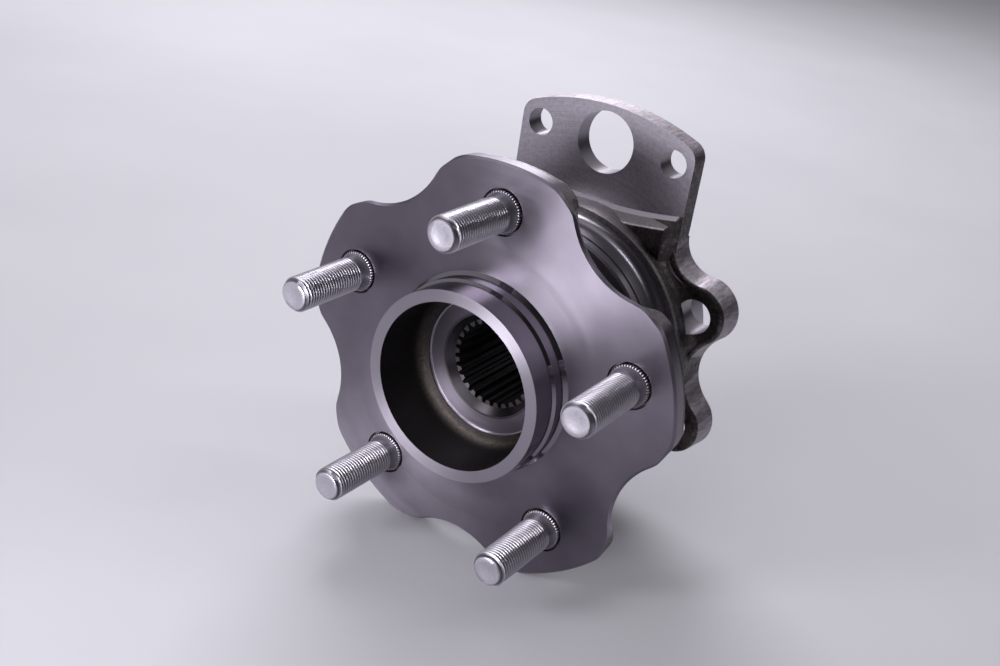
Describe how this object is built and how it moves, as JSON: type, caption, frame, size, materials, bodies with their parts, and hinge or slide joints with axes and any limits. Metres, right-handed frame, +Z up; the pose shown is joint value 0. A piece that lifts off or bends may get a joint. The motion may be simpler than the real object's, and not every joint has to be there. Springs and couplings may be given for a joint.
{
  "type": "wheel hub bearing",
  "caption": "Driven wheel hub unit: scalloped stud flange with a splined pilot on a double-row ball bearing, in a forged housing with knuckle ears and a brake anchor plate.",
  "frame": {"origin": "on the spin axis, in the face that the wheel and brake disc are bolted against", "axes": "-Y along the spin axis towards the wheel, +Z up through the anchor plate and the top stud, +X across"},
  "size_m": [0.1454, 0.1222, 0.1504],
  "materials": {
    "machined_steel": "turned bare steel with fine concentric tool marks; dark forged skin inside the cup",
    "stud_coating": "matt silver-grey zinc flake coating",
    "forged_housing": "dark rough forging skin, with turned and milled bare faces",
    "bearing_steel": "ground bearing steel",
    "ball_steel": "polished bearing steel",
    "cage_polyamide": "moulded glass-filled polyamide",
    "seal_steel": "pressed sheet steel",
    "seal_rubber": "moulded nitrile rubber",
    "stainless_sheet": "pressed stainless sheet",
    "encoder_rubber": "magnetised ferrite-filled rubber"
  },
  "bodies": {
    "housing": {"housing": "forged_housing", "seal_case_outboard": "seal_steel", "seal_lip_outboard": "seal_rubber", "seal_case_inboard": "seal_steel", "seal_lip_inboard": "seal_rubber"},
    "hub": {"hub_spindle": "machined_steel", "wheel_studs": "stud_coating", "inner_ring": "bearing_steel", "slinger_inboard": "stainless_sheet", "encoder_ring": "encoder_rubber"},
    "outboard_row": {"cage_outboard": "cage_polyamide", "ball_outboard_01": "ball_steel", "ball_outboard_02": "ball_steel", "ball_outboard_03": "ball_steel", "ball_outboard_04": "ball_steel", "ball_outboard_05": "ball_steel", "ball_outboard_06": "ball_steel", "ball_outboard_07": "ball_steel", "ball_outboard_08": "ball_steel", "ball_outboard_09": "ball_steel", "ball_outboard_10": "ball_steel", "ball_outboard_11": "ball_steel", "ball_outboard_12": "ball_steel", "ball_outboard_13": "ball_steel"},
    "inboard_row": {"cage_inboard": "cage_polyamide", "ball_inboard_01": "ball_steel", "ball_inboard_02": "ball_steel", "ball_inboard_03": "ball_steel", "ball_inboard_04": "ball_steel", "ball_inboard_05": "ball_steel", "ball_inboard_06": "ball_steel", "ball_inboard_07": "ball_steel", "ball_inboard_08": "ball_steel", "ball_inboard_09": "ball_steel", "ball_inboard_10": "ball_steel", "ball_inboard_11": "ball_steel", "ball_inboard_12": "ball_steel", "ball_inboard_13": "ball_steel"}
  },
  "joints": [
    {"name": "hub_spin", "type": "hinge", "parent": "housing", "child": "hub", "pos_m": [0, 0, 0], "axis": [0, 1, 0], "continuous": true},
    {"name": "outboard_row_spin", "type": "hinge", "parent": "housing", "child": "outboard_row", "pos_m": [0, 0.05, 0], "axis": [0, 1, 0], "continuous": true},
    {"name": "inboard_row_spin", "type": "hinge", "parent": "housing", "child": "inboard_row", "pos_m": [0, 0.072, 0], "axis": [0, 1, 0], "continuous": true}
  ],
  "couplings": [
    {"joint": "outboard_row_spin", "follows": "hub_spin", "ratio": 0.4174},
    {"joint": "inboard_row_spin", "follows": "hub_spin", "ratio": 0.4174}
  ]
}
